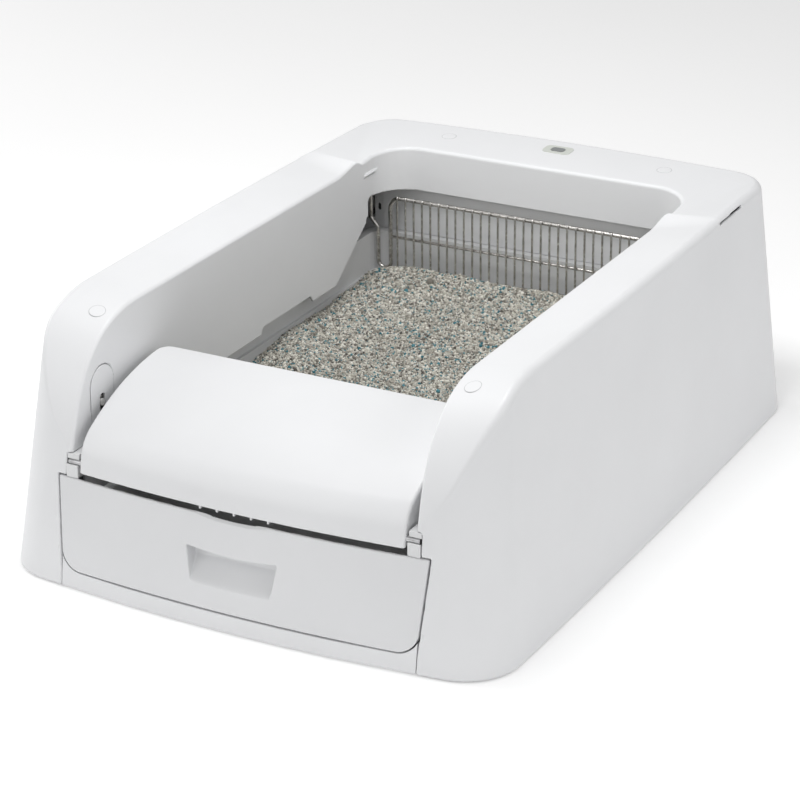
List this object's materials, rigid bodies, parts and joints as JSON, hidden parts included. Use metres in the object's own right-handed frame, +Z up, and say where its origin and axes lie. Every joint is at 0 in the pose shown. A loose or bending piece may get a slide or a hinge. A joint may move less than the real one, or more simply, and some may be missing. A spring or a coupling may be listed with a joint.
{
  "type": "self-cleaning litter box",
  "caption": "Self-cleaning litter box with an open-topped white housing, a wire rake over the litter, a hinged ramp lid and a waste drawer",
  "frame": {"origin": "on the floor, under the middle of the overall box", "axes": "+X to the right for someone facing the waste drawer, +Y towards the back, +Z up"},
  "size_m": [0.4898, 0.6816, 0.236],
  "materials": {
    "shell_white": "satin",
    "tray_grey": "satin",
    "litter": "matte",
    "wire": "polished",
    "steel": "satin",
    "acetal": "satin",
    "belt_rubber": "matte",
    "circuit_board": "satin",
    "dark_plastic": "gloss",
    "button_grey": "satin"
  },
  "bodies": {
    "housing": {"base_pan": "shell_white", "button_bezel": "button_grey", "button_spring": "steel", "button_switch": "acetal", "case_screws": "steel", "control_board": "circuit_board", "drive_belt_left": "belt_rubber", "drive_belt_right": "belt_rubber", "gearbox": "acetal", "guide_rail_left": "acetal", "guide_rail_right": "acetal", "hinge_cradle_left": "tray_grey", "hinge_cradle_right": "tray_grey", "idler_bracket_left": "acetal", "idler_bracket_right": "acetal", "idler_pin_left": "steel", "idler_pin_right": "steel", "litter_bed": "litter", "litter_tray": "tray_grey", "lock_pivot_pins": "steel", "motor_bracket": "steel", "motor_can": "steel", "pivot_cover_left": "shell_white", "pivot_cover_right": "shell_white", "power_inlet": "dark_plastic", "rear_bulkhead": "shell_white", "rubber_feet": "belt_rubber", "screw_plugs": "shell_white", "sensor_holders": "acetal", "sensor_lenses": "dark_plastic", "shaft_bearing_left": "acetal", "shaft_bearing_right": "acetal", "top_shell": "shell_white"},
    "carriages": {"carriage_left": "acetal", "carriage_right": "acetal", "rake_pivot_pin_left": "steel", "rake_pivot_pin_right": "steel"},
    "rake": {"rake_frame": "wire", "rake_mid_rod": "wire", "rake_tines": "wire", "rake_hub_left": "acetal", "rake_hub_right": "acetal"},
    "lid": {"ramp_lid": "shell_white", "lid_hinge_pin_left": "steel", "lid_hinge_pin_right": "steel"},
    "drawer": {"drawer_front": "shell_white", "waste_bin": "tray_grey", "bag_frame": "tray_grey"},
    "button": {"button_cap": "button_grey"},
    "drive_shaft": {"cross_shaft": "steel", "drive_pulley_left": "acetal", "drive_pulley_right": "acetal", "shaft_gear": "acetal"},
    "motor_output": {"motor_pinion": "acetal", "motor_shaft": "steel"},
    "idler_left": {"idler_pulley_left": "acetal"},
    "idler_right": {"idler_pulley_right": "acetal"},
    "lock_left": {"lid_lock_left": "acetal"},
    "lock_right": {"lid_lock_right": "acetal"}
  },
  "joints": [
    {"name": "rake_sweep", "type": "slide", "parent": "housing", "child": "carriages", "axis": [0, -1, 0], "range_m": [0, 0.31], "deforming": ["litter_bed"]},
    {"name": "rake_tilt", "type": "hinge", "parent": "carriages", "child": "rake", "pos_m": [0, 0.24582, 0.2], "axis": [-1, 0, 0], "range_deg": [0, 47]},
    {"name": "lid_swing", "type": "hinge", "parent": "housing", "child": "lid", "pos_m": [0, -0.3128, 0.1128], "axis": [1, 0, 0], "range_deg": [0, 25]},
    {"name": "lock_left_swing", "type": "hinge", "parent": "housing", "child": "lock_left", "pos_m": [0, -0.213, 0.1425], "axis": [1, 0, 0], "range_deg": [0, 16.5]},
    {"name": "lock_right_swing", "type": "hinge", "parent": "housing", "child": "lock_right", "pos_m": [0, -0.213, 0.1425], "axis": [1, 0, 0], "range_deg": [0, 16.5]},
    {"name": "drawer_slide", "type": "slide", "parent": "housing", "child": "drawer", "axis": [0, -1, 0], "range_m": [0, 0.11]},
    {"name": "button_press", "type": "slide", "parent": "housing", "child": "button", "axis": [0, 0, -1], "range_m": [0, 0.0012], "stiffness_N_per_m": 500, "deforming": ["button_spring"]},
    {"name": "shaft_turn", "type": "hinge", "parent": "housing", "child": "drive_shaft", "pos_m": [0, 0.29202, 0.162], "axis": [1, 0, 0], "range_deg": [0, 1380]},
    {"name": "pinion_turn", "type": "hinge", "parent": "housing", "child": "motor_output", "pos_m": [0, 0.3117, 0.14232], "axis": [1, 0, 0], "range_deg": [-3230, 0]},
    {"name": "idler_left_turn", "type": "hinge", "parent": "housing", "child": "idler_left", "pos_m": [0, -0.12018, 0.162], "axis": [1, 0, 0], "range_deg": [0, 1380]},
    {"name": "idler_right_turn", "type": "hinge", "parent": "housing", "child": "idler_right", "pos_m": [0, -0.12018, 0.162], "axis": [1, 0, 0], "range_deg": [0, 1380]}
  ],
  "couplings": [
    {"joint": "lid_swing", "follows": "rake_tilt", "ratio": 0.5},
    {"joint": "lock_left_swing", "follows": "rake_tilt", "ratio": 0.34},
    {"joint": "lock_right_swing", "follows": "rake_tilt", "ratio": 0.34},
    {"joint": "shaft_turn", "follows": "rake_sweep", "rad_per_m": 76.336},
    {"joint": "pinion_turn", "follows": "rake_sweep", "rad_per_m": -180.43},
    {"joint": "idler_left_turn", "follows": "rake_sweep", "rad_per_m": 76.336},
    {"joint": "idler_right_turn", "follows": "rake_sweep", "rad_per_m": 76.336}
  ]
}
